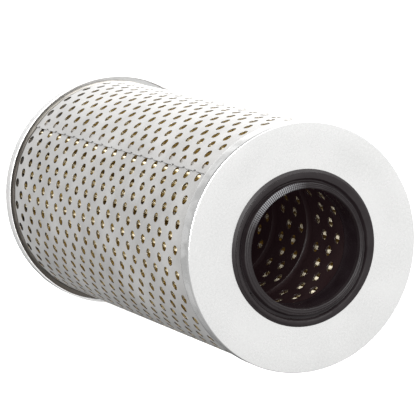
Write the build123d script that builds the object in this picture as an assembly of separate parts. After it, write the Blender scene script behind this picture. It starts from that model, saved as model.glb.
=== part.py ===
from build123d import *
from math import cos, degrees, pi, radians, sin
import os

# Pleated filter element: a paper pleat pack round a beaded, perforated core tube, inside a
# perforated wrap with a lap seam, potted between two pressed steel end caps. The open end holds a
# rubber seal, the other end is closed. Millimetres, +Z along the axis. The origin is the centre of
# the closed cap's outer face, and angles run from +X towards +Y.

# Caps
element_height = 250.0  # from the outer face of one cap to the outer face of the other
open_cap_diameter = 130.0
open_skirt_depth = 10.7
closed_channel_width = 3.0  # from the wrap to the inside of the closed cap's skirt
closed_skirt_depth = 6.4
cap_sheet = 0.8
cap_corner = 1.2

# Adhesive that bonds the pack to the caps
potting_depth = 3.0
potting_clearance = 0.05
potting_squeeze = 0.3  # bead of adhesive beyond the wrap and inside the tube, in the closed cap
potting_sides = 20

# Perforated wrap, one sheet rolled in narrow flats, its edges lapped
wrap_sheet = 0.6
wrap_clearance = 0.1  # wrap to the open cap's skirt
wrap_flats = 48
wrap_hole_diameter = 5.0
wrap_rings = 10  # rings of holes, staggered
wrap_row_step = 4  # flats from one hole of a ring to the next
wrap_edge_margin = 12.0
seam_angle = -19.0  # edge of the outer layer, which laps over one flat
lap_gap = 0.08
joggle_distance = 2.0  # from the seam's edge to the bend of the under layer

# Core tube, rolled in narrow flats
tube_bore_diameter = 73.6
tube_wall = 0.8
tube_flats = 30
tube_sections = 5
top_section_depth = 44.4  # from the open cap's face to the middle of the top section
bottom_section_height = 39.2  # from the closed cap's face to the middle of the bottom section
bead_height = 2.2
bead_width = 9.6
tube_hole_diameter = 5.6
tube_row_step = 6  # flats from one hole of a ring to the next
tube_row_angle = 172.0

# Pleated paper and the clip that closes it
pleat_count = 60
paper_thickness = 0.8
pack_outer_clearance = 0.4  # paper to the inner layer of the lap
pack_inner_clearance = 0.3  # paper to the crests of the beads
clip_angle = 120.0
clip_sheet = 0.4
clip_depth = 7.0
clip_clearance = 0.05
paper_edge_gap = 0.1

# Rubber seal in the open cap
seal_sleeve_wall = 5.4
seal_flange_overhang = 4.4  # beyond the sleeve
seal_flange_height = 2.5
seal_lip_height = 3.0
seal_groove_floor = 1.2
seal_groove_offset = 0.3  # middle of the groove, outside the sleeve
seal_groove_half_width = 0.9
seal_edge = 1.0
seal_sleeve_depth = 14.0
seal_sleeve_clearance = 0.3  # seal's sleeve to the bore of the core tube

# Radii, levels and pitches that follow
section_pitch = (element_height - top_section_depth - bottom_section_height) / (tube_sections - 1)
open_cap_radius = open_cap_diameter / 2
wrap_radius = open_cap_radius - cap_sheet - wrap_clearance
closed_cap_radius = wrap_radius + closed_channel_width + cap_sheet
wrap_bore_radius = (wrap_radius - 2 * wrap_sheet - lap_gap) * cos(pi / wrap_flats)
tube_bore_radius = tube_bore_diameter / 2
tube_radius = tube_bore_radius + tube_wall
tube_corner_radius = tube_radius / cos(pi / tube_flats)
pack_radius = wrap_bore_radius - pack_outer_clearance
pack_bore_radius = tube_corner_radius + bead_height + pack_inner_clearance
pack_bottom = cap_sheet + potting_depth
pack_top = element_height - cap_sheet - potting_depth
tube_top = element_height - cap_sheet
seal_sleeve_radius = tube_bore_radius - seal_sleeve_clearance


def turned(*outline):
    """Solid of revolution round Z, from an outline of (radius, height) points."""
    return revolve(Plane.XZ * make_face(Polyline(*outline, close=True)), Axis.Z)


def punch(diameter, angle, radius, height, reach):
    """Diamond cutter through a round wall, on a radial line at the given angle and height."""
    outward = Vector(cos(radians(angle)), sin(radians(angle)), 0)
    start = outward * (radius - reach) + Vector(0, 0, height)
    seat = Plane(origin=start, x_dir=(0, 0, 1), z_dir=outward)
    return seat * extrude(RegularPolygon(diameter / 2, 4), amount=2 * reach)


def polar(radius, angle, aside=0.0):
    """Point at a radius and an angle in degrees, moved aside by a distance along the circle."""
    turn = radians(angle) + aside / radius
    return (radius * cos(turn), radius * sin(turn))


def open_end_cap():
    face = element_height
    rim = face - open_skirt_depth
    inside = open_cap_radius - cap_sheet
    return turned(
        (seal_sleeve_radius, face),
        (open_cap_radius - cap_corner, face),
        (open_cap_radius, face - cap_corner),
        (open_cap_radius, rim),
        (inside, rim),
        (inside, face - cap_sheet),
        (seal_sleeve_radius, face - cap_sheet),
    )


def closed_end_cap():
    inside = closed_cap_radius - cap_sheet
    return turned(
        (0, 0),
        (closed_cap_radius - cap_corner, 0),
        (closed_cap_radius, cap_corner),
        (closed_cap_radius, closed_skirt_depth),
        (inside, closed_skirt_depth),
        (inside, cap_sheet),
        (0, cap_sheet),
    )


def open_end_potting():
    outer = open_cap_radius - cap_sheet - potting_clearance
    core_turn = tube_row_angle + 180 / tube_flats
    ring = RegularPolygon(outer, potting_sides)
    ring -= RegularPolygon(tube_corner_radius + potting_clearance, tube_flats, rotation=core_turn)
    return Pos(0, 0, pack_top) * extrude(ring, amount=potting_depth)


def closed_end_potting():
    """Ring of adhesive that the wrap, the pack and the tube stand in; the cap shows on both sides."""
    outer = (wrap_radius + potting_squeeze) / cos(pi / potting_sides)
    ring = RegularPolygon(outer, potting_sides)
    ring -= RegularPolygon(tube_bore_radius - potting_squeeze, potting_sides)
    return Pos(0, 0, cap_sheet) * extrude(ring, amount=potting_depth)


def wrap_sheet_section():
    """Section of the rolled sheet: the under layer, a joggle out, then the flats of the outer layer."""
    flat = 360 / wrap_flats
    joggle = degrees(joggle_distance / wrap_radius)
    under_radius = wrap_radius - wrap_sheet - lap_gap
    under_angles = [seam_angle - flat, seam_angle, seam_angle + joggle]
    outer_angles = [seam_angle + flat * corner for corner in range(2, wrap_flats + 1)]
    outside = [polar(under_radius, angle) for angle in under_angles]
    outside += [polar(wrap_radius, angle) for angle in outer_angles]
    inside = [polar(under_radius - wrap_sheet, angle) for angle in under_angles]
    inside += [polar(wrap_radius - wrap_sheet, angle) for angle in outer_angles]
    return make_face(Polyline(*outside, *reversed(inside), close=True))


def outer_wrap():
    height = pack_top - pack_bottom
    body = Pos(0, 0, pack_bottom) * extrude(wrap_sheet_section(), amount=height)
    ring_pitch = (height - 2 * wrap_edge_margin) / (wrap_rings - 1)
    flat = 360 / wrap_flats
    punches = []
    for ring in range(wrap_rings):
        level = pack_bottom + wrap_edge_margin + ring * ring_pitch
        first_row = 2 + (ring % 2) * wrap_row_step // 2
        for row in range(first_row, wrap_flats - 1, wrap_row_step):
            angle = seam_angle + flat * (row + 0.5)
            punches.append(punch(wrap_hole_diameter, angle, wrap_radius, level, 2 * wrap_sheet))
    return body - punches


def tube_wall_line(radius):
    """Line of the tube's wall from bottom to top, bulging outwards at each rolled bead."""
    points = [(radius, pack_bottom)]
    for joint in range(tube_sections - 1):
        middle = bottom_section_height + (joint + 0.5) * section_pitch
        points += [
            (radius, middle - bead_width / 2),
            (radius + bead_height, middle),
            (radius, middle + bead_width / 2),
        ]
    return points + [(radius, tube_top)]


def center_tube():
    outline = tube_wall_line(tube_radius) + tube_wall_line(tube_bore_radius)[::-1]
    wall = Plane.XZ * make_face(Polyline(*outline, close=True))
    half_flat = 180 / tube_flats
    corners = [polar(tube_corner_radius, half_flat * (2 * flat + 1)) for flat in range(tube_flats)]
    round_path = Polyline((tube_radius, 0), *corners, (tube_radius, 0))
    body = Rot(0, 0, tube_row_angle) * sweep(wall, path=round_path, transition=Transition.RIGHT)
    punches = []
    for section in range(tube_sections):
        middle = bottom_section_height + section * section_pitch
        first_row = (section % 2) * tube_row_step // 2
        for row in range(first_row, tube_flats, tube_row_step):
            angle = tube_row_angle + row * 360 / tube_flats
            punches.append(punch(tube_hole_diameter, angle, tube_radius, middle, 2 * tube_wall))
    return body - punches


def pleat_nose(radius, pleat):
    """The two corners on the outside of a fold, at a pleat number that may end in a half."""
    angle = clip_angle + 360 * pleat / pleat_count
    return [polar(radius, angle, -paper_thickness), polar(radius, angle, paper_thickness)]


def pleat_crease(radius, pleat):
    """The corner on the inside of a fold, pressed shut."""
    return [polar(radius, clip_angle + 360 * pleat / pleat_count)]


def pleated_media():
    """One band of paper folded in and out, whose two edges lie side by side in the clip."""
    edge = pack_radius - clip_sheet - clip_clearance
    edge_foot = edge - clip_depth
    near_side = paper_edge_gap / 2
    far_side = near_side + paper_thickness
    outside = [polar(edge, clip_angle, far_side), polar(edge_foot, clip_angle, far_side)]
    inside = [polar(edge, clip_angle, near_side), polar(edge_foot, clip_angle, near_side)]
    for pleat in range(pleat_count):
        if pleat:
            outside += pleat_nose(pack_radius, pleat)
            inside += pleat_crease(pack_radius - paper_thickness, pleat)
        outside += pleat_crease(pack_bore_radius + paper_thickness, pleat + 0.5)
        inside += pleat_nose(pack_bore_radius, pleat + 0.5)
    outside += [polar(edge_foot, clip_angle, -far_side), polar(edge, clip_angle, -far_side)]
    inside += [polar(edge_foot, clip_angle, -near_side), polar(edge, clip_angle, -near_side)]
    band = make_face(Polyline(*outside, *reversed(inside), close=True))
    return Pos(0, 0, pack_bottom) * extrude(band, amount=pack_top - pack_bottom)


def seam_clip():
    """Folded strip over the two edges of the paper, open towards the axis."""
    slot = paper_edge_gap + 2 * paper_thickness + 2 * clip_clearance
    top = pack_radius
    middle = top - (clip_depth + clip_sheet) / 2
    channel = Pos(middle, 0) * Rectangle(clip_depth + clip_sheet, slot + 2 * clip_sheet)
    channel -= Pos(middle - clip_sheet, 0) * Rectangle(clip_depth + clip_sheet, slot)
    strip = extrude(channel, amount=pack_top - pack_bottom)
    return Rot(0, 0, clip_angle) * Pos(0, 0, pack_bottom) * strip


def rubber_seal():
    """Bush pressed into the cap's hole: a grooved face outside and a sleeve down the tube."""
    face = element_height
    sleeve = seal_sleeve_radius
    bore = sleeve - seal_sleeve_wall
    flange = sleeve + seal_flange_overhang
    groove = sleeve + seal_groove_offset
    return turned(
        (bore, face - seal_sleeve_depth),
        (sleeve, face - seal_sleeve_depth),
        (sleeve, face),
        (flange, face),
        (flange - seal_edge, face + seal_flange_height),
        (groove + seal_groove_half_width, face + seal_flange_height),
        (groove, face + seal_groove_floor),
        (groove - seal_groove_half_width, face + seal_lip_height),
        (bore, face + seal_lip_height),
    )


pieces = {
    "open_end_cap": open_end_cap(),
    "closed_end_cap": closed_end_cap(),
    "open_end_potting": open_end_potting(),
    "closed_end_potting": closed_end_potting(),
    "outer_wrap": outer_wrap(),
    "center_tube": center_tube(),
    "pleated_media": pleated_media(),
    "seam_clip": seam_clip(),
    "rubber_seal": rubber_seal(),
}

os.makedirs("parts", exist_ok=True)
for name, piece in pieces.items():
    export_step(piece, f"parts/{name}.step")
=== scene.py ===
import math
import random

import bmesh
import bpy
import numpy as np
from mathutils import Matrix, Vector, noise


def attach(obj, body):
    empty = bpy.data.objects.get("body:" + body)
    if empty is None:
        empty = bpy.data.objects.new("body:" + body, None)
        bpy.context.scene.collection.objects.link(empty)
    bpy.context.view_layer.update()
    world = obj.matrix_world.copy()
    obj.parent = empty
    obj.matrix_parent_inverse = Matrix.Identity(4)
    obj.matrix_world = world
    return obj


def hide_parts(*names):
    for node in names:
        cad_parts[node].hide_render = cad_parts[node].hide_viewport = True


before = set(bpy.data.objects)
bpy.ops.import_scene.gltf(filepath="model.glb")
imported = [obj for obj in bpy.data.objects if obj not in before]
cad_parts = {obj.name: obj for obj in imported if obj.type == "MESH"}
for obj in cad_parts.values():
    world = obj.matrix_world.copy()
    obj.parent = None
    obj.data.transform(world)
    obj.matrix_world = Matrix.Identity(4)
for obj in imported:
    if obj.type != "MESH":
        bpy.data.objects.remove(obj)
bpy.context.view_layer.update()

random.seed(7)
MM = 0.001

# Sizes in millimetres and angles in degrees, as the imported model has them
FACE = 250.0
PACK_BOTTOM = 3.8
PACK_TOP = 246.2
CAP_SHEET = 0.8
OPEN_CAP_R = 65.0
OPEN_CAP_HOLE_R = 36.5
OPEN_SKIRT = 10.7
CLOSED_CAP_R = 67.9
CLOSED_SKIRT = 6.4
WRAP_R = 64.1
WRAP_SHEET = 0.6
LAP_GAP = 0.08
SEAM = -19.0
TUBE_BORE_R = 36.8
TUBE_WALL = 0.8
TUBE_R = TUBE_BORE_R + TUBE_WALL
TUBE_TOP = 249.2
SEAL_BORE_R = 31.1


# Helpers for places and meshes


def polar(radius, angle, z):
    turn = math.radians(angle)
    return (radius * math.cos(turn), radius * math.sin(turn), z)


def smoothstep(x, lo, hi):
    t = min(1.0, max(0.0, (x - lo) / (hi - lo)))
    return t * t * (3 - 2 * t)


def round_noise(angle, scale, third):
    """Smooth noise that meets itself after a full turn."""
    turn = math.radians(angle)
    return noise.noise(Vector((math.cos(turn) * scale, math.sin(turn) * scale, third)))


def arc(centre, radius, start, end, count):
    turns = [math.radians(start + (end - start) * i / count) for i in range(count + 1)]
    return [(centre[0] + radius * math.cos(turn), centre[1] + radius * math.sin(turn)) for turn in turns]


def build(name, verts, faces, node, mat, normals=None):
    """A mesh piece in the row frame, from points in millimetres."""
    mesh = bpy.data.meshes.new(name)
    mesh.from_pydata([tuple(c * MM for c in v) for v in verts], [], faces)
    mesh.polygons.foreach_set("use_smooth", [True] * len(mesh.polygons))
    mesh.update()
    if normals is not None:
        mesh.normals_split_custom_set_from_vertices(normals)
    mesh.materials.append(mat)
    obj = bpy.data.objects.new(name, mesh)
    bpy.context.scene.collection.objects.link(obj)
    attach(obj, "root")
    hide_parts(node)
    return obj


def add_values(obj, name, values):
    """One number for each point of a mesh, for its material to read."""
    layer = obj.data.attributes.new(name, "FLOAT", "POINT")
    layer.data.foreach_set("value", values)


def join(outer, inner, faces):
    """Quads between two closed rings of as many points."""
    count = len(outer)
    for m in range(count):
        q = (m + 1) % count
        faces.append((outer[m], outer[q], inner[q], inner[m]))


class Points:
    """Points with their normals, each made once and shared by the faces that meet in it."""

    def __init__(self):
        self.index = {}
        self.places = []
        self.normals = []

    def add(self, key, place, normal):
        if key not in self.index:
            self.index[key] = len(self.places)
            self.places.append(place)
            self.normals.append(normal)
        return self.index[key]


# Helpers for materials, which measure places in metres


def grey(level):
    return (level, level, level)


def new_material(name):
    """A material with its shader, and the place on the object that its patterns follow."""
    mat = bpy.data.materials.new(name)
    mat.use_nodes = True
    tree = mat.node_tree
    tree.nodes.clear()
    out = tree.nodes.new("ShaderNodeOutputMaterial")
    bsdf = tree.nodes.new("ShaderNodeBsdfPrincipled")
    tree.links.new(bsdf.outputs["BSDF"], out.inputs["Surface"])
    coord = tree.nodes.new("ShaderNodeTexCoord")
    return mat, tree, bsdf, coord.outputs["Object"]


def axes(tree, place):
    split = tree.nodes.new("ShaderNodeSeparateXYZ")
    tree.links.new(place, split.inputs["Vector"])
    return [split.outputs[axis] for axis in "XYZ"]


def attribute(tree, name):
    node = tree.nodes.new("ShaderNodeAttribute")
    node.attribute_name = name
    return node.outputs["Fac"]


def noise_node(tree, place, scale, detail=3.0, rough=0.55, stretch=(1, 1, 1)):
    mapping = tree.nodes.new("ShaderNodeMapping")
    mapping.inputs["Scale"].default_value = stretch
    tree.links.new(place, mapping.inputs["Vector"])
    tex = tree.nodes.new("ShaderNodeTexNoise")
    tex.inputs["Scale"].default_value = scale
    tex.inputs["Detail"].default_value = detail
    tex.inputs["Roughness"].default_value = rough
    tree.links.new(mapping.outputs["Vector"], tex.inputs["Vector"])
    return tex.outputs["Fac"]


def ramp(tree, value, stops):
    """A colour that follows a value through stops of (value, colour)."""
    node = tree.nodes.new("ShaderNodeValToRGB")
    elements = node.color_ramp.elements
    while len(elements) > 1:
        elements.remove(elements[-1])
    for number, (position, color) in enumerate(stops):
        element = elements.new(position) if number else elements[0]
        element.position = position
        element.color = (*color, 1.0)
    tree.links.new(value, node.inputs["Fac"])
    return node.outputs["Color"]


def mix_color(tree, kind, share, a, b):
    node = tree.nodes.new("ShaderNodeMix")
    node.data_type = "RGBA"
    node.blend_type = kind
    if isinstance(share, float):
        node.inputs["Factor"].default_value = share
    else:
        tree.links.new(share, node.inputs["Factor"])
    tree.links.new(a, node.inputs["A"])
    tree.links.new(b, node.inputs["B"])
    return node.outputs["Result"]


def bump(tree, bsdf, height, strength, distance, after=None):
    node = tree.nodes.new("ShaderNodeBump")
    node.inputs["Strength"].default_value = strength
    node.inputs["Distance"].default_value = distance
    tree.links.new(height, node.inputs["Height"])
    if after is not None:
        tree.links.new(after, node.inputs["Normal"])
    tree.links.new(node.outputs["Normal"], bsdf.inputs["Normal"])
    return node.outputs["Normal"]


def math_node(tree, operation, a, b=0.0):
    node = tree.nodes.new("ShaderNodeMath")
    node.operation = operation
    for socket, value in zip(node.inputs, (a, b)):
        if isinstance(value, (int, float)):
            socket.default_value = value
        else:
            tree.links.new(value, socket)
    return node.outputs[0]


def plus(tree, a, b):
    return math_node(tree, "ADD", a, b)


def times(tree, a, b):
    return math_node(tree, "MULTIPLY", a, b)


def is_over(tree, value, limit):
    return math_node(tree, "GREATER_THAN", value, limit)


def is_under(tree, value, limit):
    return math_node(tree, "LESS_THAN", value, limit)


def length_2d(tree, x, y):
    return math_node(tree, "SQRT", plus(tree, times(tree, x, x), times(tree, y, y)))


def share_of_turn(tree, turn):
    """An angle from minus to plus a half turn as a share from 0 to 1."""
    return plus(tree, times(tree, turn, 0.5 / math.pi), 0.5)


def share_of_width(tree, y):
    """0 on the element's -Y side, which the light comes from, and 1 on its +Y side."""
    per_metre = 7.4
    return plus(tree, times(tree, y, per_metre), 0.5)


# Materials


def galvanised(name, lightest, darkest, roughness, uneven, marks_and_shade):
    """Galvanised sheet: silver-white, finely spangled and cloudy, with what its own piece adds on top:
    stains, cut edges and painted shade.
    """
    mat, tree, bsdf, place = new_material(name)
    bsdf.inputs["Metallic"].default_value = 1.0
    grain = noise_node(tree, place, 900, 4.0, 0.7)
    cloud = noise_node(tree, place, 38, 4.0, 0.6)
    speck = noise_node(tree, place, 2600, 2.0, 0.5)
    base = ramp(tree, cloud, [(0.3, darkest), (0.7, lightest)])
    spangle = ramp(tree, grain, [(0.3, grey(0.84)), (0.7, grey(1.0))])
    base = mix_color(tree, "MULTIPLY", 0.6, base, spangle)
    dots = ramp(tree, speck, [(0.3, grey(0.8)), (0.5, grey(1.0))])
    base = mix_color(tree, "MULTIPLY", 0.4, base, dots)
    base = marks_and_shade(tree, bsdf, place, cloud, base)
    tree.links.new(base, bsdf.inputs["Base Color"])
    rough = ramp(tree, cloud, [(0.3, grey(roughness - uneven)), (0.7, grey(roughness + uneven))])
    tree.links.new(rough, bsdf.inputs["Roughness"])
    bump(tree, bsdf, grain, 0.18, 0.00006)
    return mat


def wrap_shade_and_cut_edges(tree, bsdf, place, cloud, base):
    """Painted shade at the wrap's foot, darker towards the +Y side away from the light, and darker cut walls
    in its holes: partly the bare cut edge's own colour, partly painted shade that is lighter on the lit -Y
    side.
    """
    foot_top = 0.0058
    x, y, z = axes(tree, place)
    side = share_of_width(tree, y)
    # Painted shade at the foot: slight on the lit -Y side, dark towards the +Y side
    painted_side_shade = ramp(tree, side, [(0.0, grey(0.9)), (0.22, (0.5, 0.48, 0.46)), (0.45, (0.17, 0.15, 0.13))])
    base = mix_color(tree, "MULTIPLY", is_under(tree, z, foot_top), base, painted_side_shade)
    # Cut walls: darker as the bare cut edge, with painted shade that is lighter on the lit -Y side
    cut_shade_by_side = ramp(tree, side, [(0.03, grey(0.3)), (0.3, grey(1.0))])
    cut = times(tree, attribute(tree, "cut"), cut_shade_by_side)
    cut_edge_and_shade = ramp(tree, cut, [(0.0, grey(1.0)), (1.0, (0.20, 0.15, 0.09))])
    return mix_color(tree, "MULTIPLY", 1.0, base, cut_edge_and_shade)


def open_cap_stains_and_shade(tree, bsdf, place, cloud, base):
    """Smeared stains on the skirt, and a thin line of painted shade below the face's corner on the upper
    side.
    """
    face_edge = 0.2478
    x, y, z = axes(tree, place)
    smear = noise_node(tree, place, 115, 3.0, 0.5, (1, 1, 0.55))
    stains = ramp(tree, smear, [(0.40, (0.90, 0.90, 0.895)), (0.56, grey(1.2))])
    base = mix_color(tree, "MULTIPLY", is_under(tree, z, face_edge), base, stains)
    # Painted shade: a thin dark line just below the face's corner, only on the upper -Y side
    share_of_height = times(tree, z, 1 / (FACE * MM))
    line = ramp(tree, share_of_height, [
        (0.9935, grey(1.0)), (0.9948, grey(0.42)), (0.9968, grey(0.42)), (0.998, grey(1.0))])
    upper = ramp(tree, share_of_width(tree, y), [
        (0.02, grey(0.0)), (0.12, grey(1.0)), (0.36, grey(1.0)), (0.46, grey(0.0))])
    return mix_color(tree, "MULTIPLY", upper, base, line)


def closed_cap_shade_and_film(tree, bsdf, place, cloud, base):
    """Painted shade in the channel round the wrap, dark towards the +Y side away from the light, and a pale,
    dull film on the skirt's inner wall.
    """
    channel_bottom, channel_top = 0.0004, 0.0013
    channel_inner, channel_outer = 0.06, 0.0675
    wall_bottom, wall_outer = 0.0012, 0.0674
    x, y, z = axes(tree, place)
    radius = length_2d(tree, x, y)
    channel = times(tree, is_over(tree, z, channel_bottom), is_under(tree, z, channel_top))
    channel = times(tree, channel, is_under(tree, radius, channel_outer))
    channel = times(tree, channel, is_over(tree, radius, channel_inner))
    # Painted shade on the channel floor: slight on the lit -Y side, dark towards the +Y side
    painted_side_shade = ramp(tree, share_of_width(tree, y), [
        (0.0, grey(0.8)), (0.22, (0.5, 0.49, 0.48)), (0.45, (0.14, 0.125, 0.11))])
    base = mix_color(tree, "MULTIPLY", channel, base, painted_side_shade)
    wall = times(tree, is_over(tree, z, wall_bottom), is_under(tree, radius, wall_outer))
    pale = ramp(tree, cloud, [(0.3, (0.78, 0.775, 0.77)), (0.7, (0.86, 0.855, 0.85))])
    metallic = math_node(tree, "SUBTRACT", 0.85, times(tree, wall, 0.8))
    tree.links.new(metallic, bsdf.inputs["Metallic"])
    return mix_color(tree, "MIX", wall, base, pale)


def gloss_black():
    """Black lacquer over steel, with a faint warm painted glow that lifts it in the shade."""
    mat, tree, bsdf, place = new_material("gloss_black_coating")
    cloud = noise_node(tree, place, 60)
    base = ramp(tree, cloud, [(0.3, (0.006, 0.0032, 0.0034)), (0.7, (0.010, 0.006, 0.006))])
    tree.links.new(base, bsdf.inputs["Base Color"])
    rough = ramp(tree, cloud, [(0.3, grey(0.27)), (0.7, grey(0.34))])
    tree.links.new(rough, bsdf.inputs["Roughness"])
    bsdf.inputs["Specular IOR Level"].default_value = 0.42
    # Painted glow: a faint warm emission that stands in for light in the shade
    bsdf.inputs["Emission Color"].default_value = (0.0048, 0.0023, 0.0028, 1)
    bsdf.inputs["Emission Strength"].default_value = 1.0
    orange_peel = noise_node(tree, place, 420, 2.0)
    bump(tree, bsdf, orange_peel, 0.12, 0.00008)
    return mat


def rib_highlight_zone(tree, radius, z, turn):
    """The stretch of the seal's inner ring on the lit -Y side where its moulded ribs are drawn, light grey as
    a painted highlight.
    """
    ring_outer, ring_bottom = 0.0345, 0.2515
    ring = times(tree, is_under(tree, radius, ring_outer), is_over(tree, z, ring_bottom))
    lit_stretch = ramp(tree, share_of_turn(tree, turn), [
        (0.30, grey(0.0)), (0.37, grey(1.0)), (0.43, grey(1.0)), (0.49, grey(0.0))])
    return times(tree, ring, lit_stretch)


def rubber():
    """Moulded rubber: dull black outside, smoother in the bore, finely ribbed with a painted highlight on one
    lit stretch of the inner ring, and with a faint painted glow that is weaker in the bore, where it lies in
    shade.
    """
    rib_count = 190.0
    mat, tree, bsdf, place = new_material("black_rubber")
    cloud = noise_node(tree, place, 90, 4.0)
    fine = noise_node(tree, place, 1500)
    x, y, z = axes(tree, place)
    bsdf.inputs["Specular IOR Level"].default_value = 0.17
    in_bore = is_under(tree, z, FACE * MM)
    polish = ramp(tree, in_bore, [(0.0, grey(1.0)), (1.0, grey(0.35))])
    dull = ramp(tree, cloud, [(0.3, grey(0.42)), (0.7, grey(0.56))])
    tree.links.new(times(tree, dull, polish), bsdf.inputs["Roughness"])
    # Painted glow: a faint emission that lifts the black, less of it in the bore, which lies in shade
    glow = ramp(tree, in_bore, [(0.0, (0.005, 0.0028, 0.0033)), (1.0, (0.0028, 0.0011, 0.0018))])
    tree.links.new(glow, bsdf.inputs["Emission Color"])
    bsdf.inputs["Emission Strength"].default_value = 1.0
    turn = math_node(tree, "ARCTAN2", y, x)
    ribs = math_node(tree, "SINE", times(tree, turn, rib_count))
    rib_highlight_mask = rib_highlight_zone(tree, length_2d(tree, x, y), z, turn)
    rib_share = plus(tree, times(tree, ribs, 0.5), 0.5)
    # Painted highlight: light grey ribs in the lit stretch of the inner ring
    rib_painted_highlight = ramp(tree, rib_share, [(0.25, grey(0.012)), (0.75, (0.085, 0.085, 0.09))])
    base = ramp(tree, cloud, [(0.3, (0.0025, 0.0018, 0.002)), (0.7, (0.005, 0.004, 0.0043))])
    tree.links.new(mix_color(tree, "MIX", rib_highlight_mask, base, rib_painted_highlight), bsdf.inputs["Base Color"])
    grained = bump(tree, bsdf, fine, 0.1, 0.00005)
    bump(tree, bsdf, times(tree, ribs, rib_highlight_mask), 0.6, 0.00016, grained)
    return mat


def paper():
    """Resin-treated paper: painted shade makes the flanks of the folds dark amber and leaves the creases pale
    as if lit, and a painted amber glow stands in for light passing through and between the folds.
    """
    mat, tree, bsdf, place = new_material("filter_paper")
    crease = attribute(tree, "crease")
    fibre = noise_node(tree, place, 700, 4.0, 0.65)
    cloud = noise_node(tree, place, 60)
    # Painted shade: the flanks of the folds darker and amber, the creases pale where light falls
    fold_shade_tint = ramp(tree, crease, [
        (0.0, (0.62, 0.58, 0.47)), (0.06, (0.58, 0.52, 0.36)), (0.12, (0.22, 0.16, 0.06)),
        (0.2, (0.24, 0.17, 0.06)), (0.42, (0.38, 0.28, 0.095)), (0.86, (0.42, 0.32, 0.125)),
        (0.95, (0.56, 0.48, 0.30)), (1.0, (0.60, 0.55, 0.44))])
    mottled = ramp(tree, fibre, [(0.25, (0.84, 0.8, 0.72)), (0.7, grey(1.0))])
    base = mix_color(tree, "MULTIPLY", 0.7, fold_shade_tint, mottled)
    shade = ramp(tree, cloud, [(0.3, grey(0.85)), (0.7, grey(1.0))])
    tree.links.new(mix_color(tree, "MULTIPLY", 1.0, base, shade), bsdf.inputs["Base Color"])
    bsdf.inputs["Roughness"].default_value = 0.8
    bsdf.inputs["Specular IOR Level"].default_value = 0.25
    # Painted glow: amber emission, strongest on the flanks, in place of light through and between the folds
    glow = ramp(tree, crease, [
        (0.0, (0.010, 0.0055, 0.0018)), (0.2, (0.012, 0.007, 0.002)), (0.42, (0.045, 0.027, 0.0048)),
        (0.75, (0.045, 0.028, 0.0052)), (0.95, (0.035, 0.026, 0.009)), (1.0, (0.03, 0.023, 0.010))])
    tree.links.new(glow, bsdf.inputs["Emission Color"])
    bsdf.inputs["Emission Strength"].default_value = 1.0
    bump(tree, bsdf, fibre, 0.3, 0.00012)
    return mat


def adhesive():
    """Cast adhesive: dull, with painted light and shade: pale on the lit -Y side and dark towards the +Y
    side.
    """
    mat, tree, bsdf, place = new_material("cast_adhesive")
    cloud = noise_node(tree, place, 150, 4.0)
    x, y, z = axes(tree, place)
    # Painted light and shade: pale on the lit -Y side, dark towards the +Y side
    painted_light_by_side = ramp(tree, share_of_width(tree, y), [
        (0.0, (0.5, 0.48, 0.45)), (0.2, (0.2, 0.19, 0.17)), (0.45, (0.05, 0.044, 0.038))])
    mottled = ramp(tree, cloud, [(0.3, grey(0.7)), (0.7, grey(1.0))])
    tree.links.new(mix_color(tree, "MULTIPLY", 1.0, painted_light_by_side, mottled), bsdf.inputs["Base Color"])
    bsdf.inputs["Roughness"].default_value = 0.7
    bsdf.inputs["Specular IOR Level"].default_value = 0.2
    bump(tree, bsdf, cloud, 0.4, 0.0003)
    return mat


wrap_metal = galvanised(
    "galvanised_sheet", (0.60, 0.595, 0.585), (0.50, 0.495, 0.485), 0.42, 0.05, wrap_shade_and_cut_edges)
open_cap_metal = galvanised(
    "galvanised_cap", (0.585, 0.585, 0.58), (0.56, 0.56, 0.556), 0.27, 0.01, open_cap_stains_and_shade)
closed_cap_metal = galvanised(
    "galvanised_closed_cap", (0.60, 0.60, 0.595), (0.56, 0.56, 0.556), 0.3, 0.01, closed_cap_shade_and_film)
tube_coat = gloss_black()
seal_rubber = rubber()
media_paper = paper()
potting = adhesive()


# Turned pieces: both caps, the adhesive and the seal

# Rounding of the caps' pressed corners
CAP_CORNER = 0.5


def merge_axis(mesh):
    bm = bmesh.new()
    bm.from_mesh(mesh)
    bmesh.ops.remove_doubles(bm, verts=bm.verts, dist=1e-7)
    bm.to_mesh(mesh)
    bm.free()


def turned(name, outline, node, mat, steps, wobble=None):
    """A lathe piece from a closed outline of (radius, height) points."""
    sharp_from = 40
    n = len(outline)
    verts, faces = [], []
    for i in range(steps):
        angle = 360 * i / steps
        for r, z in outline:
            dr, dz = wobble(r, z, angle) if wobble else (0, 0)
            verts.append(polar(r + dr, angle, z + dz))
    for i in range(steps):
        j = (i + 1) % steps
        for k in range(n):
            m = (k + 1) % n
            if outline[k][0] > 0 or outline[m][0] > 0:
                faces.append((i * n + k, j * n + k, j * n + m, i * n + m))
    obj = build(name, verts, faces, node, mat)
    if any(r == 0 for r, z in outline):
        merge_axis(obj.data)
    obj.data.set_sharp_from_angle(angle=math.radians(sharp_from))
    return obj


def open_cap_outline():
    outer, inner = OPEN_CAP_R, OPEN_CAP_R - CAP_SHEET
    rim = FACE - OPEN_SKIRT
    points = [(OPEN_CAP_HOLE_R, FACE), (45.0, FACE), (55.0, FACE)]
    points += arc((outer - CAP_CORNER, FACE - CAP_CORNER), CAP_CORNER, 90, 0, 8)
    points += [(outer, FACE - 4), (outer, FACE - 7.5), (outer - 0.12, rim + 1.4), (outer - 0.35, rim + 0.3)]
    points += [(outer - 0.5, rim), (inner + 0.1, rim), (inner, rim + 0.2)]
    points += [(inner, FACE - CAP_SHEET - 0.3), (inner - 0.3, FACE - CAP_SHEET)]
    points += [(OPEN_CAP_HOLE_R, FACE - CAP_SHEET)]
    return points[::-1]


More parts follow.
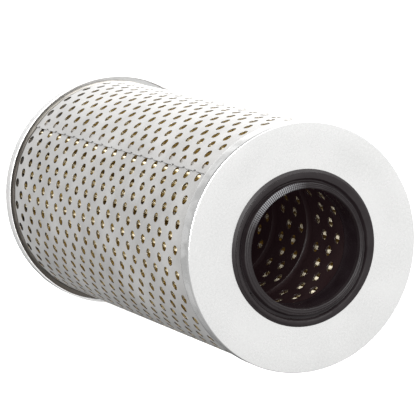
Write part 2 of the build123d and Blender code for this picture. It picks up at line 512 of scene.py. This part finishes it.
def open_cap_wobble(r, z, angle):
    """A pressed face that dips a little, and unevenly, just inside its rim."""
    flat_to, full_at, rim = 38, 60, 63
    if r >= rim:
        return (0.0, 0.0)
    turn = math.radians(angle)
    broad, narrow = 0.05 * math.sin(3 * turn + 0.6), 0.03 * math.sin(7 * turn + 2.0)
    return (0.0, -abs(broad + narrow) * smoothstep(r, flat_to, full_at))


def closed_cap_outline():
    outer, inner = CLOSED_CAP_R, CLOSED_CAP_R - CAP_SHEET
    rim = CLOSED_SKIRT
    points = [(0, 0), (20, 0), (45, 0)]
    points += arc((outer - CAP_CORNER, CAP_CORNER), CAP_CORNER, -90, 0, 8)
    points += [(outer, 3), (outer, rim - 0.25), (outer - 0.2, rim), (inner + 0.2, rim), (inner, rim - 0.25)]
    points += [(inner, CAP_SHEET + 0.3), (inner - 0.3, CAP_SHEET)]
    points += [(0, CAP_SHEET)]
    return points


def adhesive_outline():
    """The ring that the wrap, the pack and the tube stand in, and a film over the floor of the bore."""
    film = 1.3
    points = [(0, CAP_SHEET), (64.6, CAP_SHEET), (64.55, 3.0), (64.3, 3.6), (64.0, PACK_BOTTOM)]
    points += [(37.2, PACK_BOTTOM), (36.75, 3.5), (36.5, 1.8), (35.0, film), (0, film)]
    return points


def adhesive_wobble(r, z, angle):
    """Cast edges and top that run uneven."""
    sideways, upwards = 0.15, 0.12
    run = round_noise(angle, 5, r * 0.3)
    at_edge = r > 64 or 36 < r < 37
    on_top = z > 3
    return (sideways * run if at_edge else 0, upwards * run if on_top else 0)


def seal_outline():
    """Bore with a small lip at its inner end, sleeve, flange, rounded rim, groove and inner ring."""
    sleeve_end = 236.0
    points = [(30.6, 236.4), (31.0, sleeve_end), (OPEN_CAP_HOLE_R, sleeve_end), (OPEN_CAP_HOLE_R, FACE)]
    points += [(40.9, FACE), (40.9, 251.2)]
    points += arc((39.9, 251.4), 1.0, 0, 80, 5)
    points += [(39.0, 252.5), (38.6, 252.5), (38.1, 252.4), (37.8, 252.1), (37.5, 251.4)]
    points += [(37.2, 250.8), (36.6, 250.5), (36.0, 250.6), (35.6, 251.2)]
    points += arc((34.7, 252.1), 0.8, 0, 88, 4)
    points += [(34.3, 252.95), (34.0, 252.7), (33.6, 252.95), (33.0, 253.0), (32.5, 252.8), (32.0, 252.95)]
    points += arc((31.75, 252.3), 0.65, 90, 180, 3)
    points += [(SEAL_BORE_R, 245.0), (SEAL_BORE_R, 240.2), (SEAL_BORE_R, 238.4)]
    points += [(30.95, 237.9), (30.65, 237.5), (30.55, 237.0)]
    return points


def seal_wobble(r, z, angle):
    """The rim leans in, the groove and inner ring sit a little off centre, and the rubber runs uneven."""
    face_bottom, groove_floor = 250.4, 251
    bore_side, groove_inner, groove_outer, rim = 31.8, 35.6, 38.7, 39.4
    off_centre, off_towards = 0.95, 45
    widening, wide_towards = 0.25, 65
    if z < face_bottom or r < bore_side:
        return (0, 0)
    turn = math.radians(angle)
    uneven = round_noise(angle, 3, 0.4) + 0.5 * round_noise(angle, 9, 2.0)
    middle = groove_inner + off_centre * math.cos(turn - math.radians(off_towards)) + 0.25 * uneven
    wide = widening * math.cos(turn - math.radians(wide_towards))
    moulded = (bore_side, groove_inner, 36.6, 38.1, rim)
    moved = (bore_side, middle - 1.1 - wide, middle, middle + 1.35 + wide, rim)
    sunk = 0.12 * uneven - (0.45 + 1.4 * wide if z < groove_floor else 0)
    in_groove = groove_inner <= r < groove_outer
    return (float(np.interp(r, moulded, moved)) - r, sunk if in_groove else 0)


turned("open_cap_shell", open_cap_outline(), "open_end_cap", open_cap_metal, 360,
       open_cap_wobble)
closed_shell = turned("closed_cap_shell", closed_cap_outline(), "closed_end_cap",
                      closed_cap_metal, 360)
# Left out of glossy reflections, where it would show in the satin wrap as a wide grey band
closed_shell.visible_glossy = False
turned("closed_end_adhesive", adhesive_outline(), "closed_end_potting", potting, 160,
       adhesive_wobble)
turned("rubber_grommet", seal_outline(), "rubber_seal", seal_rubber, 360, seal_wobble)


# Perforated wrap: a lattice of rows k and rings n, with a hole where k + n is odd
ROWS = 62
RINGS = 34
FIRST_ROW = -22.43
ROW_PITCH = 359.13 / (ROWS - 1)
ROW_DRIFT = 2.746
DRIFT_CHANGE = 3.08
FIRST_RING = 18.35
RING_TILT = 0.37
WRAP_RING_PITCH = 6.764
UNDER_EDGE = SEAM - 4.7
OUTER_EDGE = SEAM + 360.0
HOLE_R = 2.5
BEVEL = 0.05
FLARE = 0.35
ARC = 16
SKINS = ((0.0, 1.0), (WRAP_SHEET, -1.0))
CUT_RINGS = (1, 2)
EDGE_STOPS = (0, 0.25, 0.5, 0.75, 1)
NOTCH_STOPS = (0, 0.36, 0.38, 0.44, 0.5, 0.56, 0.62, 0.64, 1)

wrap_points = Points()
wrap_faces = []
wrap_borders = []


def wrap_row(k, n):
    """Angle of a row at a ring: the rows drift a little along the length."""
    drift = (ROW_DRIFT - DRIFT_CHANGE * k / (ROWS - 1)) * -n / 100
    return FIRST_ROW + ROW_PITCH * k + drift


def wrap_level(k, n):
    return FACE - (FIRST_RING - RING_TILT * k / (ROWS - 1) + WRAP_RING_PITCH * n)


def wrap_node(k, n):
    """Angle and height of a lattice corner; those past the last holes lie on the sheet's edges."""
    if k < 0:
        angle = UNDER_EDGE
    elif k > ROWS - 1:
        angle = OUTER_EDGE
    else:
        angle = wrap_row(k, n)
    if n < 0:
        level = PACK_TOP
    elif n > RINGS - 1:
        level = PACK_BOTTOM
    else:
        level = wrap_level(min(max(k, 0), ROWS - 1), n)
    return angle, level


def wrap_radius(angle, z):
    """Outside radius of the sheet along its strip: under layer, joggle, then the outer layer."""
    joggle_start, joggle_end = SEAM + 2.0, SEAM + 11.0
    dents = 0.03
    under = WRAP_R - WRAP_SHEET - LAP_GAP
    radius = under + (WRAP_R - under) * smoothstep(angle, joggle_start, joggle_end)
    radius += dents * round_noise(angle, 3, z * 0.02)
    return min(radius, WRAP_R)


def notch_depth(t):
    """How far the lap's edge is cut back, in degrees, where the next row's punches nicked it."""
    deepest, half_width = 0.75, 0.14
    across = (t - 0.5) / half_width
    return deepest * math.sqrt(1 - across * across) if abs(across) < 1 else 0.0


def on_lap_edge(a, b):
    return a[0] == b[0] == ROWS


def on_border(a, b):
    return (a[0] == b[0] and a[0] in (-1, ROWS)) or (a[1] == b[1] and a[1] in (-1, RINGS))


def tilted(angle, sign, toward=(0.0, 0.0), mix=0.0):
    """Normal: outwards or inwards, tilted towards a direction given along the circle and up."""
    turn = math.radians(angle)
    outwards = Vector((math.cos(turn), math.sin(turn), 0)) * sign
    along = Vector((-math.sin(turn), math.cos(turn), 0)) * toward[0] + Vector((0, 0, toward[1]))
    return (outwards * (1 - mix) + along * mix).normalized()


def wrap_point(key, angle, z, depth, normal):
    return wrap_points.add(key, polar(wrap_radius(angle, z) - depth, angle, z), normal)


def lattice_corner(corner, layer):
    angle, z = wrap_node(*corner)
    depth, sign = SKINS[layer]
    return wrap_point((layer, corner), angle, z, depth, tilted(angle, sign))


def lattice_edge(a, b, layer):
    """The points from lattice corner a to b, b left out."""
    depth, sign = SKINS[layer]
    flip = a > b
    lo, hi = (b, a) if flip else (a, b)
    (angle_lo, z_lo), (angle_hi, z_hi) = wrap_node(*lo), wrap_node(*hi)
    notched = on_lap_edge(lo, hi)
    stops = NOTCH_STOPS if notched else EDGE_STOPS
    line = []
    for t in (stops[:0:-1] if flip else stops[:-1]):
        key = (layer, lo, hi, t) if 0 < t < 1 else (layer, lo if t == 0 else hi)
        angle = angle_lo + (angle_hi - angle_lo) * t
        if notched:
            angle -= notch_depth(t)
        line.append(wrap_point(key, angle, z_lo + (z_hi - z_lo) * t, depth, tilted(angle, sign)))
    return line


def hole_ring(k, n, which, radius, depth, sign, mix):
    """A ring of points round a hole; mix turns its normals from the sheet's to the hole wall's."""
    centre, middle = wrap_node(k, n)
    sheet_radius = wrap_radius(centre, middle)
    line = []
    for m in range(ARC):
        phi = 2 * math.pi * m / ARC
        angle = centre + math.degrees(radius * math.cos(phi) / sheet_radius)
        z = middle + radius * math.sin(phi)
        normal = tilted(angle, sign, (-math.cos(phi), -math.sin(phi)), mix)
        line.append(wrap_point(("hole", k, n, which, m), angle, z, depth, normal))
    return line


def wrap_cell(k, n):
    """The two skins round one hole, its bevelled lip, its wall and its flared back."""
    around = [(k + 1, n), (k, n - 1), (k - 1, n), (k, n + 1)]
    skins = []
    for layer in (0, 1):
        line = []
        for q in range(4):
            line += lattice_edge(around[q], around[(q + 1) % 4], layer)
        skins.append(line)
    if k == 0:
        # The lap hides this row, so it is left unpunched
        wrap_faces.append(tuple(skins[0]))
        wrap_faces.append(tuple(skins[1][::-1]))
        return
    rim = hole_ring(k, n, 0, HOLE_R + BEVEL, 0.0, 1.0, 0.0)
    lip = hole_ring(k, n, 1, HOLE_R, BEVEL, 1.0, 0.95)
    wall = hole_ring(k, n, 2, HOLE_R, 0.5 * WRAP_SHEET, 1.0, 1.0)
    back = hole_ring(k, n, 3, HOLE_R + FLARE, WRAP_SHEET, -1.0, 0.0)
    chain = [skins[0], rim, lip, wall, back, skins[1]]
    for outer, inner in zip(chain, chain[1:]):
        join(outer, inner, wrap_faces)


def wrap_cells():
    for k in range(ROWS):
        for n in range(RINGS):
            if (k + n) % 2 == 1:
                wrap_cell(k, n)


def side_points(a, b, layer):
    """The points from a to b, b left out; a straight border has none between its ends."""
    if on_border(a, b) and not on_lap_edge(a, b):
        return [lattice_corner(a, layer)]
    return lattice_edge(a, b, layer)


def fill(*corners):
    """A border patch in both skins, round its lattice corners."""
    sides = list(zip(corners, corners[1:] + corners[:1]))
    for layer in (0, 1):
        line = []
        for a, b in sides:
            line += side_points(a, b, layer)
        wrap_faces.append(tuple(line) if layer == 0 else tuple(line[::-1]))
    wrap_borders.extend(side for side in sides if on_border(*side))


def wrap_edges():
    """Patches between the outermost holes and the sheet's edges, and the sheet's thickness there."""
    for k in range(-1, ROWS - 1, 2):
        fill((k, -1), (k + 1, 0), (k + 2, -1))
    for k in range(0, ROWS, 2):
        fill((k, RINGS), (k + 2, RINGS), (k + 1, RINGS - 1))
    for n in range(-1, RINGS - 2, 2):
        fill((-1, n), (-1, n + 2), (0, n + 1))
    for n in range(0, RINGS, 2):
        fill((ROWS, n), (ROWS - 1, n + 1), (ROWS, n + 2))
    fill((-1, RINGS - 1), (-1, RINGS), (0, RINGS))
    fill((ROWS - 1, -1), (ROWS, 0), (ROWS, -1))
    for a, b in wrap_borders:
        top, back = [side_points(a, b, layer) + [lattice_corner(b, layer)] for layer in (0, 1)]
        for m in range(len(top) - 1):
            wrap_faces.append((top[m], back[m], back[m + 1], top[m + 1]))


wrap_cells()
wrap_edges()
wrap = build("perforated_wrap", wrap_points.places, wrap_faces, "outer_wrap", wrap_metal,
             wrap_points.normals)
add_values(wrap, "cut", [float(key[0] == "hole" and key[3] in CUT_RINGS) for key in wrap_points.index])


# Core tube, with five punched sections and a bead between each two
COLUMNS = 30
PARTS = 4
COLUMN_ANGLE = 360 / COLUMNS
TUBE_ROW_ANGLE = 172.0
SECTION_MIDDLES = [FACE - 44.4 - 41.6 * s for s in range(5)]
RING_PITCH = 7.25
SECTION_RINGS = 4
TUBE_HOLE_R = 2.8
BEADS = [(a + b) / 2 for a, b in zip(SECTION_MIDDLES, SECTION_MIDDLES[1:])]
BEAD_DEPTH = 2.2
BEAD_HALF = 4.0
BEAD_ROUND = (BEAD_HALF ** 2 + BEAD_DEPTH ** 2) / (2 * BEAD_DEPTH)
# Radius, depth in the wall, side that the normal faces, and whether the ring is in the hole's wall
TUBE_HOLE_RINGS = (
    (TUBE_HOLE_R, 0.0, 1.0, False),
    (TUBE_HOLE_R, 0.02, 1.0, True),
    (TUBE_HOLE_R, TUBE_WALL - 0.14, 1.0, True),
    (TUBE_HOLE_R + 0.12, TUBE_WALL, -1.0, False),
)

tube_points = Points()
tube_faces = []


def tube_radius(z):
    """Outside radius of the tube, with a round rolled bead between sections."""
    offset = min(abs(z - bead) for bead in BEADS)
    radius = TUBE_R
    if offset < BEAD_HALF:
        radius += math.sqrt(BEAD_ROUND ** 2 - offset ** 2) - (BEAD_ROUND - BEAD_DEPTH)
    return radius


def tube_point(key, angle, z, depth, sign):
    """A point of the inner or outer skin, with the normal of the beaded wall."""
    near = 0.05
    turn = math.radians(angle)
    slope = (tube_radius(z + near) - tube_radius(z - near)) / (2 * near)
    normal = Vector((math.cos(turn), math.sin(turn), -slope)).normalized() * sign
    return tube_points.add(key, polar(tube_radius(z) - depth, angle, z), normal)


def tube_grid(layer, step, z):
    """A point of the plain grid, which has four steps to a column of holes."""
    angle = TUBE_ROW_ANGLE - COLUMN_ANGLE / 2 + COLUMN_ANGLE / PARTS * step
    depth, sign = (TUBE_WALL, -1.0) if layer else (0.0, 1.0)
    return tube_point((layer, step % (COLUMNS * PARTS), round(z, 4)), angle, z, depth, sign)


def tube_quad(layer, step, upper, lower):
    a, b = tube_grid(layer, step, lower), tube_grid(layer, step + 1, lower)
    c, d = tube_grid(layer, step + 1, upper), tube_grid(layer, step, upper)
    tube_faces.append((d, c, b, a) if layer else (a, b, c, d))


def plain_bands(top, bottom, steps):
    levels = [top - (top - bottom) * i / steps for i in range(steps + 1)]
    return [(upper, lower, None) for upper, lower in zip(levels, levels[1:])]


def tube_bands():
    """Bands down the tube as (upper, lower, ring of holes in its section or None)."""
    bands = []
    top = TUBE_TOP
    for section, middle in enumerate(SECTION_MIDDLES):
        upper = middle + SECTION_RINGS / 2 * RING_PITCH
        bands += plain_bands(top, upper, 24 if section else 4)
        for ring in range(SECTION_RINGS):
            bands.append((upper - ring * RING_PITCH, upper - (ring + 1) * RING_PITCH, ring))
        top = middle - SECTION_RINGS / 2 * RING_PITCH
    return bands + plain_bands(top, PACK_BOTTOM, 5)


def tube_cell(column, upper, lower, levels):
    """The two skins round one hole of the tube, and the hole's wall."""
    first, last = PARTS * column, PARTS * column + PARTS
    centre = TUBE_ROW_ANGLE + COLUMN_ANGLE * column
    middle = (upper + lower) / 2
    path = [(last, q) for q in (2, 1, 0)] + [(first + i, 0) for i in (3, 2, 1, 0)]
    path += [(first, q) for q in (1, 2, 3, 4)] + [(first + i, 4) for i in (1, 2, 3, 4)] + [(last, 3)]
    skins = [[tube_grid(layer, step, levels[q]) for step, q in path] for layer in (0, 1)]
    chain = [skins[0]]
    for which, (radius, depth, sign, in_wall) in enumerate(TUBE_HOLE_RINGS):
        line = []
        for m in range(ARC):
            phi = 2 * math.pi * m / ARC
            angle = centre + math.degrees(radius * math.cos(phi) / TUBE_R)
            z = middle + radius * math.sin(phi)
            key = ("hole", column, upper, which, m)
            if in_wall:
                normal = tilted(angle, sign, (-math.cos(phi), -math.sin(phi)), 1.0)
                line.append(tube_points.add(key, polar(tube_radius(z) - depth, angle, z), normal))
            else:
                line.append(tube_point(key, angle, z, depth, sign))
        chain.append(line)
    chain.append(skins[1])
    for outer, inner in zip(chain, chain[1:]):
        join(outer, inner, tube_faces)


def core_tube():
    steps = COLUMNS * PARTS
    for upper, lower, ring in tube_bands():
        if ring is None:
            for layer in (0, 1):
                for step in range(steps):
                    tube_quad(layer, step, upper, lower)
            continue
        levels = [upper + (lower - upper) * q / PARTS for q in range(PARTS + 1)]
        for column in range(COLUMNS):
            if (column + ring) % 2 == 0:
                tube_cell(column, upper, lower, levels)
                continue
            for layer in (0, 1):
                for q in range(PARTS):
                    for step in range(PARTS * column, PARTS * column + PARTS):
                        tube_quad(layer, step, levels[q], levels[q + 1])
    for z, flip in ((TUBE_TOP, False), (PACK_BOTTOM, True)):
        for step in range(steps):
            quad = (tube_grid(0, step, z), tube_grid(0, step + 1, z), tube_grid(1, step + 1, z),
                    tube_grid(1, step, z))
            tube_faces.append(quad[::-1] if flip else quad)


# Pleated paper: one band, folded to and fro between the tube and the wrap
PLEATS = 60
PAPER = 0.7
CREST_R = 62.1
ROOT_GAP = 0.9
CLIP_ANGLE = 120.0
CLIP_HALF = 0.42
BAND_END_R = 61.6
BAND_TURN_R = 55.0
# Across the fold and away from its crest or root, in half widths and millimetres
CREST_HALF = 0.55
CREST_SHAPE = (
    (-1.5, 3.2), (-1, 1.5), (-0.8, 0.5), (-0.3, 0.06), (0.3, 0.06), (0.8, 0.5), (1, 1.5), (1.5, 3.2),
)
ROOT_HALF = 0.85
ROOT_SHAPE = ((-1.1, 3.4), (-1, 1.4), (-0.6, 0.25), (0.6, 0.25), (1, 1.4), (1.1, 3.4))
# Heights of the paper's points in each section of the tube, from its middle
SECTION_STEPS = (-17.6, -15.2, -10.0, -5.0, 0.0, 5.0, 10.0, 15.2, 17.6)
CREST_SWAY = [random.uniform(-1.1, 1.1) for _ in range(PLEATS)]
ROOT_SWAY = [random.uniform(-0.5, 0.5) for _ in range(PLEATS)]
SINK = [random.choice((0.0, 0.1, 0.4, 1.0, 1.7)) for _ in range(PLEATS)]


def fold_angle(p, phase, sway, wave, z):
    """Angle of a fold, which leans and waves except close to the clip."""
    lean, folds_held_by_clip = 0.9, 3
    sway += lean + noise.noise(Vector((phase * 1.7, z * 0.011, 3.1))) * wave
    return CLIP_ANGLE + 360 * phase / PLEATS + sway * smoothstep(min(p, PLEATS - p), 0, folds_held_by_clip)


def crest_points(p, z):
    centre = fold_angle(p, p, CREST_SWAY[p], 1.5, z)
    top = CREST_R - SINK[p] + 0.3 * noise.noise(Vector((p * 3.3, z * 0.02, 9.0)))
    return [(centre + math.degrees(CREST_HALF * side / top), top - drop, 1.0 - 0.18 * drop)
            for side, drop in CREST_SHAPE]


def root_points(p, z, root):
    centre = fold_angle(p, p + 0.5, ROOT_SWAY[p], 0.7, z)
    return [(centre + math.degrees(ROOT_HALF * side / root), root + rise, 0.06 * rise)
            for side, rise in ROOT_SHAPE]


def pleat_line(z):
    """Centre line of the folded band at one height: (angle, radius, nearness to a crest) points."""
    bead_reach, bead_ease = 5.6, 2.4
    bead_share = max(smoothstep(bead_reach - abs(z - bead), 0, bead_ease) for bead in BEADS)
    root = TUBE_R + ROOT_GAP + BEAD_DEPTH * bead_share
    start, end = CLIP_ANGLE + CLIP_HALF, CLIP_ANGLE + 360 - CLIP_HALF
    points = [(start, BAND_END_R, 0.8), (start, BAND_TURN_R, 0.6)]
    for p in range(PLEATS):
        if p > 0:
            points += crest_points(p, z)
        points += root_points(p, z, root)
    return points + [(end, BAND_TURN_R, 0.6), (end, BAND_END_R, 0.8)]


def band_loop(z):
    """Outline of the paper at one height: out along one side and back along the other."""
    line = pleat_line(z)
    places = [Vector(polar(r, angle, 0)[:2]) for angle, r, crease in line]
    there, back = [], []
    for i, place in enumerate(places):
        ahead = places[min(i + 1, len(places) - 1)] - places[max(i - 1, 0)]
        normal = Vector((ahead.y, -ahead.x)).normalized() * PAPER / 2
        there.append((place + normal, line[i][2]))
        back.append((place - normal, line[i][2]))
    return there + back[::-1]


def band_levels():
    levels = {PACK_BOTTOM, PACK_TOP}
    for middle in SECTION_MIDDLES:
        levels.update(middle + step for step in SECTION_STEPS if PACK_BOTTOM < middle + step < PACK_TOP)
    return sorted(levels)


def pleated_band():
    verts, faces, creases = [], [], []
    levels = band_levels()
    for z in levels:
        loop = band_loop(z)
        verts += [(place.x, place.y, z) for place, crease in loop]
        creases += [crease for place, crease in loop]
    count = len(loop)
    for i in range(len(levels) - 1):
        lower, upper = i * count, (i + 1) * count
        for m in range(count):
            q = (m + 1) % count
            faces.append((lower + m, lower + q, upper + q, upper + m))
    for start, flip in ((0, True), ((len(levels) - 1) * count, False)):
        for m in range(count // 2 - 1):
            quad = (start + m, start + m + 1, start + count - 2 - m, start + count - 1 - m)
            faces.append(quad[::-1] if flip else quad)
    return verts, faces, creases


pleat_verts, pleat_faces, pleat_creases = pleated_band()
pleats = build("paper_pleats", pleat_verts, pleat_faces, "pleated_media", media_paper)
add_values(pleats, "crease", pleat_creases)

core_tube()
build("perforated_core_tube", tube_points.places, tube_faces, "center_tube", tube_coat,
      tube_points.normals)


# Hidden solids keep their shape and get the same materials
for node, mat in (("open_end_potting", potting), ("seam_clip", wrap_metal)):
    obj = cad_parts[node]
    obj.data.materials.clear()
    obj.data.materials.append(mat)


# Stage, light and camera
scene = bpy.context.scene

# Brightness of the studio below the horizon by the share of a turn, from -X round by -Y, +X and +Y
STUDIO_ROUND = (
    (0.0, 1.2), (0.045, 2.1), (0.17, 1.9), (0.34, 1.12), (0.5, 0.88), (0.72, 0.74), (0.9, 0.11), (0.97, 0.07),
    (1.0, 0.8),
)
BRIGHTEST = 2.2
SKY = 1.47
SKY_SLOPE = -0.55
BLEND_FROM = -0.35
BLEND_TO = 0.4

LENS = 224.74
SENSOR = 36.0
CAMERA_PLACE = (0.64235, 0.0, 1.4274)
CAMERA_TURN = (-8.287, -25.166, -160.684)


def pale_floor():
    half = 3.0
    mat, tree, bsdf, place = new_material("pale_floor")
    bsdf.inputs["Base Color"].default_value = (0.9, 0.9, 0.9, 1)
    bsdf.inputs["Roughness"].default_value = 0.9
    mesh = bpy.data.meshes.new("floor")
    corners = [(-half, -half, 0), (half, -half, 0), (half, half, 0), (-half, half, 0)]
    mesh.from_pydata(corners, [], [(0, 1, 2, 3)])
    mesh.materials.append(mat)
    floor = bpy.data.objects.new("floor", mesh)
    scene.collection.objects.link(floor)
    floor.visible_glossy = False


def studio_world():
    """Bright over the wrap's upper side and dimmer round to its lower side; the sky slopes the same way."""
    world = bpy.data.worlds.new("studio")
    scene.world = world
    world.use_nodes = True
    tree = world.node_tree
    tree.nodes.clear()
    out = tree.nodes.new("ShaderNodeOutputWorld")
    background = tree.nodes.new("ShaderNodeBackground")
    background.inputs["Color"].default_value = (1, 1, 1, 1)
    tree.links.new(background.outputs["Background"], out.inputs["Surface"])
    coord = tree.nodes.new("ShaderNodeTexCoord")
    x, y, z = axes(tree, coord.outputs["Generated"])
    around = share_of_turn(tree, math_node(tree, "ARCTAN2", y, x))
    levels = ramp(tree, around, [(share, grey(level / BRIGHTEST)) for share, level in STUDIO_ROUND])
    studio = times(tree, levels, BRIGHTEST)
    sky = plus(tree, times(tree, y, SKY * SKY_SLOPE), SKY)
    blend = tree.nodes.new("ShaderNodeMapRange")
    blend.interpolation_type = "SMOOTHSTEP"
    blend.inputs["From Min"].default_value = BLEND_FROM
    blend.inputs["From Max"].default_value = BLEND_TO
    tree.links.new(z, blend.inputs["Value"])
    upward = blend.outputs["Result"]
    lower_part = times(tree, studio, math_node(tree, "SUBTRACT", 1.0, upward))
    upper_part = times(tree, upward, sky)
    tree.links.new(plus(tree, lower_part, upper_part), background.inputs["Strength"])


def area_light(name, place, target, size, power):
    data = bpy.data.lights.new(name, "AREA")
    data.shape = "DISK"
    data.size = size
    data.energy = power
    obj = bpy.data.objects.new(name, data)
    obj.location = place
    direction = Vector(target) - Vector(place)
    obj.rotation_euler = direction.to_track_quat("-Z", "Y").to_euler()
    scene.collection.objects.link(obj)


def add_camera():
    data = bpy.data.cameras.new("camera")
    data.sensor_width = SENSOR
    data.lens = LENS
    data.clip_start = 0.05
    data.clip_end = 20
    camera = bpy.data.objects.new("camera", data)
    camera.location = CAMERA_PLACE
    camera.rotation_mode = "XYZ"
    camera.rotation_euler = [math.radians(turn) for turn in CAMERA_TURN]
    scene.collection.objects.link(camera)
    scene.camera = camera


pale_floor()
studio_world()
area_light("key", (1.12, -0.43, 1.6), (0, 0, 0.22), 1.7, 118)
area_light("top_side", (-0.1, -1.7, 0.55), (0, 0, 0.1), 1.6, 30)
add_camera()
scene.view_settings.view_transform = "Standard"
scene.view_settings.look = "None"
